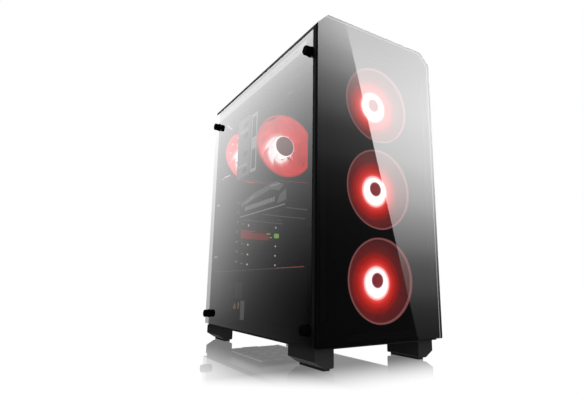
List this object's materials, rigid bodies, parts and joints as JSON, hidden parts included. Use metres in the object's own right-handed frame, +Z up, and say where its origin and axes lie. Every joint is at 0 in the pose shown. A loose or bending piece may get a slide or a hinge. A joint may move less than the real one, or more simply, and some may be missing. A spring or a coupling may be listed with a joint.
{
  "type": "desktop computer tower",
  "caption": "Upright computer case with dark glass front and side panes, lit fans, feet, and its board, cooler, graphics card and power supply inside.",
  "frame": {"origin": "on the floor, under the middle of the whole tower", "axes": "+Z up, front towards -Y, glass side towards -X"},
  "size_m": [0.228, 0.396, 0.4745],
  "materials": {
    "chassis_steel": "fine matt black powder coat",
    "foot_plastic": "fine spark-eroded grain",
    "rubber": "matt",
    "standoff_steel": "black nickel",
    "fan_black": "moulded",
    "fan_red": "translucent, lit by red diodes",
    "board_black": "solder mask",
    "brass": "machined",
    "plated_steel": "zinc plated",
    "socket_metal": "stamped",
    "copper_pipe": "nickel-plated copper",
    "fin_aluminium": "rolled sheet",
    "connector_plastic": "moulded",
    "memory_black": "black anodised",
    "heatsink_dark": "dark anodised",
    "gpu_plastic": "satin",
    "rotor_black": "moulded",
    "red_anodised": "red anodised",
    "psu_steel": "matt black",
    "switch_plastic": "moulded",
    "drive_metal": "cast",
    "cable_black": "braided sleeve",
    "front_glass": "dark tinted, polished edges",
    "side_glass": "dark tinted, polished edges",
    "bezel_plastic": "fine grain",
    "ring_trim": "clear light ring",
    "screw_black": "black anodised",
    "panel_steel": "fine matt black powder coat",
    "button_plastic": "satin",
    "filter_black": "woven mesh in a moulded frame"
  },
  "bodies": {
    "chassis": {"base_pan": "chassis_steel", "rear_panel": "chassis_steel", "left_frame": "chassis_steel", "motherboard_tray": "chassis_steel", "front_wall": "chassis_steel", "psu_shroud": "chassis_steel", "roof_panel": "chassis_steel", "drive_cage": "chassis_steel", "feet": "foot_plastic", "foot_pads": "rubber", "glass_standoffs": "standoff_steel", "front_fan_frames": "fan_black", "rear_fan_frame": "fan_black", "cooler_fan_frame": "fan_black", "motherboard": "board_black", "gpu_board": "board_black", "expansion_card": "board_black", "board_standoffs": "brass", "io_shield": "plated_steel", "rear_ports": "plated_steel", "slot_covers": "plated_steel", "card_brackets": "plated_steel", "cpu_socket": "socket_metal", "cooler_base": "copper_pipe", "cooler_fins": "fin_aluminium", "gpu_heatsink": "fin_aluminium", "board_sockets": "connector_plastic", "psu_inlet": "connector_plastic", "top_io_module": "connector_plastic", "ram_modules": "memory_black", "board_heatsinks": "heatsink_dark", "gpu_backplate": "heatsink_dark", "gpu_shroud": "gpu_plastic", "expansion_heatsink": "red_anodised", "psu_case": "psu_steel", "hard_drive": "drive_metal", "cable_main": "cable_black"},
    "front_rotor_low": {"front_rotor_low": "fan_red"},
    "front_rotor_middle": {"front_rotor_middle": "fan_red"},
    "front_rotor_top": {"front_rotor_top": "fan_red"},
    "rear_fan_rotor": {"rear_fan_rotor": "fan_red"},
    "cooler_fan_rotor": {"cooler_fan_rotor": "fan_red"},
    "gpu_rotor_front": {"gpu_rotor_front": "rotor_black"},
    "gpu_rotor_rear": {"gpu_rotor_rear": "rotor_black"},
    "psu_rotor": {"psu_rotor": "rotor_black"},
    "left_glass": {"left_glass": "side_glass"},
    "thumbscrew_front_low": {"thumbscrew_front_low": "screw_black"},
    "thumbscrew_front_high": {"thumbscrew_front_high": "screw_black"},
    "thumbscrew_rear_low": {"thumbscrew_rear_low": "screw_black"},
    "thumbscrew_rear_high": {"thumbscrew_rear_high": "screw_black"},
    "right_panel": {"right_panel": "panel_steel", "panel_screws": "screw_black"},
    "front_cover": {"front_bezel": "bezel_plastic", "front_glass": "front_glass", "ring_trims": "ring_trim"},
    "power_button": {"power_button": "button_plastic"},
    "reset_button": {"reset_button": "button_plastic"},
    "psu_switch": {"psu_switch": "switch_plastic"},
    "top_filter": {"top_filter": "filter_black"},
    "bottom_filter": {"bottom_filter": "filter_black"}
  },
  "joints": [
    {"name": "front_fan_low_spin", "type": "hinge", "parent": "chassis", "child": "front_rotor_low", "pos_m": [0.005, -0.178, 0.1095], "axis": [0, 1, 0], "continuous": true},
    {"name": "front_fan_middle_spin", "type": "hinge", "parent": "chassis", "child": "front_rotor_middle", "pos_m": [0.005, -0.178, 0.236], "axis": [0, 1, 0], "continuous": true},
    {"name": "front_fan_top_spin", "type": "hinge", "parent": "chassis", "child": "front_rotor_top", "pos_m": [0.005, -0.178, 0.3625], "axis": [0, 1, 0], "continuous": true},
    {"name": "rear_fan_spin", "type": "hinge", "parent": "chassis", "child": "rear_fan_rotor", "pos_m": [-0.0325, 0.174, 0.3675], "axis": [0, 1, 0], "continuous": true},
    {"name": "cooler_fan_spin", "type": "hinge", "parent": "chassis", "child": "cooler_fan_rotor", "pos_m": [-0.021, 0.047, 0.358], "axis": [0, 1, 0], "continuous": true},
    {"name": "gpu_fan_front_spin", "type": "hinge", "parent": "chassis", "child": "gpu_rotor_front", "pos_m": [0.005, 0.031, 0.238], "axis": [0, 0, 1], "continuous": true},
    {"name": "gpu_fan_rear_spin", "type": "hinge", "parent": "chassis", "child": "gpu_rotor_rear", "pos_m": [0.005, 0.127, 0.238], "axis": [0, 0, 1], "continuous": true},
    {"name": "psu_fan_spin", "type": "hinge", "parent": "chassis", "child": "psu_rotor", "pos_m": [-0.007, 0.112, 0.045], "axis": [0, 0, 1], "continuous": true},
    {"name": "thumbscrew_front_low_turn", "type": "hinge", "parent": "left_glass", "child": "thumbscrew_front_low", "pos_m": [-0.104, -0.18, 0.049], "axis": [-1, 0, 0], "continuous": true},
    {"name": "thumbscrew_front_high_turn", "type": "hinge", "parent": "left_glass", "child": "thumbscrew_front_high", "pos_m": [-0.104, -0.18, 0.42], "axis": [-1, 0, 0], "continuous": true},
    {"name": "thumbscrew_rear_low_turn", "type": "hinge", "parent": "left_glass", "child": "thumbscrew_rear_low", "pos_m": [-0.104, 0.171, 0.049], "axis": [-1, 0, 0], "continuous": true},
    {"name": "thumbscrew_rear_high_turn", "type": "hinge", "parent": "left_glass", "child": "thumbscrew_rear_high", "pos_m": [-0.104, 0.171, 0.42], "axis": [-1, 0, 0], "continuous": true},
    {"name": "left_glass_lift_off", "type": "slide", "parent": "chassis", "child": "left_glass", "axis": [-1, 0, 0], "range_m": [0, 0.08]},
    {"name": "right_panel_slide", "type": "slide", "parent": "chassis", "child": "right_panel", "axis": [0, 1, 0], "range_m": [0, 0.015]},
    {"name": "front_cover_pull", "type": "slide", "parent": "chassis", "child": "front_cover", "axis": [0, -1, 0], "range_m": [0, 0.06]},
    {"name": "power_button_press", "type": "slide", "parent": "chassis", "child": "power_button", "axis": [0, 0, -1], "range_m": [0, 0.002], "stiffness_N_per_m": 400, "springref_m": -0.0005},
    {"name": "reset_button_press", "type": "slide", "parent": "chassis", "child": "reset_button", "axis": [0, 0, -1], "range_m": [0, 0.0015], "stiffness_N_per_m": 300, "springref_m": -0.0005},
    {"name": "psu_switch_rock", "type": "hinge", "parent": "chassis", "child": "psu_switch", "pos_m": [0.04, 0.185, 0.092], "axis": [1, 0, 0], "range_deg": [-16, 0]},
    {"name": "top_filter_lift", "type": "slide", "parent": "chassis", "child": "top_filter", "axis": [0, 0, 1], "range_m": [0, 0.05]},
    {"name": "bottom_filter_slide", "type": "slide", "parent": "chassis", "child": "bottom_filter", "axis": [0, 1, 0], "range_m": [0, 0.17]}
  ]
}
